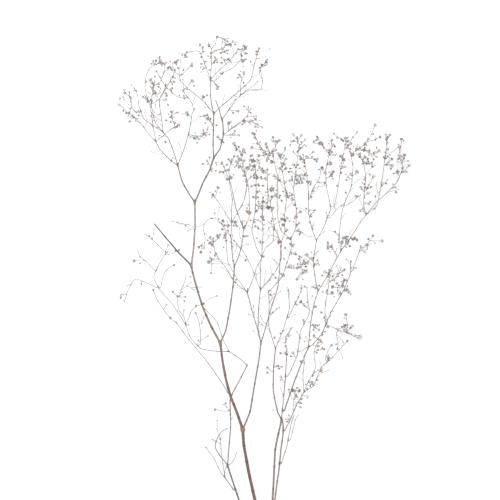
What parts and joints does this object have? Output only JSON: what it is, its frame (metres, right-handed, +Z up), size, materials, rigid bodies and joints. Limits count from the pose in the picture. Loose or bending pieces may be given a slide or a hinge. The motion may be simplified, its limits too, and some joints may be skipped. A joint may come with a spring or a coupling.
{
  "type": "dried gypsophila stem",
  "caption": "Dried gypsophila (baby's breath) stem, cut and lying flat: a forking wiry stem whose fine sprays end in small pale double florets.",
  "frame": {"origin": "on the surface that the stem lies on, below the centre of its outline seen from above", "axes": "+Y along the stem towards the flowers, +Z up from the surface, +X across the stem to the right of the picture"},
  "size_m": [0.3237, 0.641, 0.1049],
  "materials": {
    "stem_bark": "dry reddish brown bark, faintly ribbed",
    "dried_florets": "dry matte greige petals on thin pinkish grey twigs"
  },
  "bodies": {
    "root": {"main_stem": "stem_bark", "spray_upper_left": "dried_florets", "spray_top": "dried_florets", "spray_upper_right": "dried_florets", "spray_mid_left": "dried_florets", "spray_mid": "dried_florets", "spray_centre_left": "dried_florets", "spray_centre": "dried_florets", "spray_centre_right": "dried_florets", "spray_inner": "dried_florets", "spray_low_centre": "dried_florets", "spray_right_high": "dried_florets", "spray_right_outer": "dried_florets", "spray_right_mid": "dried_florets", "spray_low_right": "dried_florets", "spray_left": "dried_florets", "spray_left_low": "dried_florets", "spray_foot_left": "dried_florets"}
  },
  "joints": []
}
